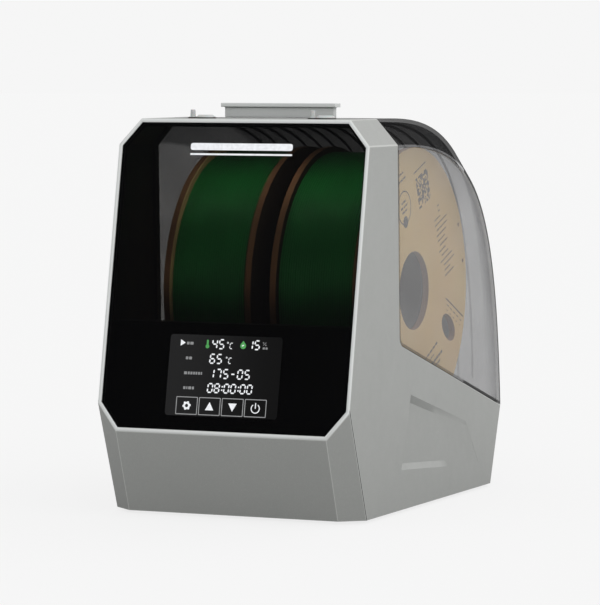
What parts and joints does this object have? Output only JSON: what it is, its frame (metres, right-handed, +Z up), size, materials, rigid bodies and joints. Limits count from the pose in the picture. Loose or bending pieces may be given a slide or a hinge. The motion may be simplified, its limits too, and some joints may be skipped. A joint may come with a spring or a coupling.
{
  "type": "filament dryer box",
  "caption": "Filament dryer box with a leaning dark display glass, a smoky lid hinged at the rear, and spools that turn on rollers over a warm-air unit",
  "frame": {"origin": "middle of the footprint box, on the surface the feet stand on", "axes": "+Z up, +Y to the rear, +X to the right seen from the front"},
  "size_m": [0.185, 0.3052, 0.2782],
  "materials": {
    "housing": "fine metallic grey moulded shell",
    "glass_panel": "dark gloss, see-through above the display",
    "display": "dark display face with lit marks",
    "board": "solder-masked circuit board",
    "black_plastic": "fine-grained black moulding",
    "foot_rubber": "soft black rubber",
    "roller_rubber": "rubber-coated roller",
    "seal_rubber": "soft black lip",
    "steel": "turned and zinc-plated steel",
    "aluminium": "pressed aluminium fins",
    "cardboard": "brown pressed card with printed marks",
    "filament": "dark green wound filament",
    "silicone": "translucent white silicone",
    "lid_smoke": "smoked clear plastic",
    "lid_milk": "milky clear plastic",
    "handle_grey": "grey moulding"
  },
  "bodies": {
    "housing": {"main_housing": "housing", "front_fascia": "housing", "front_glass": "glass_panel", "display_module": "display", "touch_key_board": "board", "control_board": "board", "base_plate": "black_plastic", "base_screw_front_left": "steel", "foot_front_left": "foot_rubber", "base_screw_front_right": "steel", "foot_front_right": "foot_rubber", "base_screw_rear_left": "steel", "foot_rear_left": "foot_rubber", "base_screw_rear_right": "steel", "foot_rear_right": "foot_rubber", "chamber_floor": "black_plastic", "front_partition": "black_plastic", "humidity_sensor_board": "board", "roller_axle_front": "steel", "roller_axle_rear": "steel", "fan_frame": "black_plastic", "heater_core": "aluminium", "air_duct": "black_plastic", "power_supply_board": "board", "power_transformer": "black_plastic", "power_inlet": "black_plastic", "switch_housing": "black_plastic", "lid_seal": "seal_rubber", "hinge_leaf_housing_left": "steel", "hinge_pin_left": "steel", "outlet_grommet_left": "silicone", "hinge_leaf_housing_right": "steel", "hinge_pin_right": "steel", "outlet_grommet_right": "silicone"},
    "lid": {"lid_dome": "lid_smoke", "lid_window_left": "lid_milk", "lid_window_right": "lid_milk", "lid_handle": "handle_grey", "hinge_leaf_lid_left": "steel", "hinge_leaf_lid_right": "steel"},
    "spool_left": {"spool_left_inner_flange": "cardboard", "spool_left_outer_flange": "cardboard", "spool_left_core": "cardboard", "spool_left_winding": "filament"},
    "roller_left_front": {"roller_left_front": "roller_rubber"},
    "roller_left_rear": {"roller_left_rear": "roller_rubber"},
    "spool_right": {"spool_right_inner_flange": "cardboard", "spool_right_outer_flange": "cardboard", "spool_right_core": "cardboard", "spool_right_winding": "filament"},
    "roller_right_front": {"roller_right_front": "roller_rubber"},
    "roller_right_rear": {"roller_right_rear": "roller_rubber"},
    "fan": {"fan_impeller": "black_plastic"},
    "power_rocker": {"power_rocker": "black_plastic"},
    "stopper_left": {"outlet_stopper_left": "silicone"},
    "stopper_right": {"outlet_stopper_right": "silicone"}
  },
  "joints": [
    {"name": "lid_hinge", "type": "hinge", "parent": "housing", "child": "lid", "pos_m": [0, 0.1498, 0.058], "axis": [-1, 0, 0], "range_deg": [0, 95]},
    {"name": "spool_left_spin", "type": "hinge", "parent": "housing", "child": "spool_left", "pos_m": [-0.04, 0.0124, 0.147], "axis": [1, 0, 0], "continuous": true},
    {"name": "roller_left_front_spin", "type": "hinge", "parent": "housing", "child": "roller_left_front", "pos_m": [-0.04, -0.0461, 0.05349], "axis": [1, 0, 0], "continuous": true},
    {"name": "roller_left_rear_spin", "type": "hinge", "parent": "housing", "child": "roller_left_rear", "pos_m": [-0.04, 0.0709, 0.05349], "axis": [1, 0, 0], "continuous": true},
    {"name": "spool_right_spin", "type": "hinge", "parent": "housing", "child": "spool_right", "pos_m": [0.04, 0.0124, 0.147], "axis": [1, 0, 0], "continuous": true},
    {"name": "roller_right_front_spin", "type": "hinge", "parent": "housing", "child": "roller_right_front", "pos_m": [0.04, -0.0461, 0.05349], "axis": [1, 0, 0], "continuous": true},
    {"name": "roller_right_rear_spin", "type": "hinge", "parent": "housing", "child": "roller_right_rear", "pos_m": [0.04, 0.0709, 0.05349], "axis": [1, 0, 0], "continuous": true},
    {"name": "fan_spin", "type": "hinge", "parent": "housing", "child": "fan", "pos_m": [-0.042, 0.0124, 0.0145], "axis": [0, 0, 1], "continuous": true},
    {"name": "rocker_tilt", "type": "hinge", "parent": "housing", "child": "power_rocker", "pos_m": [-0.02, 0.13281, 0.02341], "axis": [1, 0, 0], "range_deg": [0, 16]},
    {"name": "stopper_left_flip", "type": "hinge", "parent": "housing", "child": "stopper_left", "pos_m": [-0.04465, -0.0886, 0.2699], "axis": [0, 1, 0], "range_deg": [0, 180]},
    {"name": "stopper_right_flip", "type": "hinge", "parent": "housing", "child": "stopper_right", "pos_m": [0.04445, -0.0886, 0.2699], "axis": [0, 1, 0], "range_deg": [0, 180]}
  ],
  "couplings": [
    {"joint": "roller_left_front_spin", "follows": "spool_left_spin", "ratio": -10},
    {"joint": "roller_left_rear_spin", "follows": "spool_left_spin", "ratio": -10},
    {"joint": "roller_right_front_spin", "follows": "spool_right_spin", "ratio": -10},
    {"joint": "roller_right_rear_spin", "follows": "spool_right_spin", "ratio": -10}
  ]
}
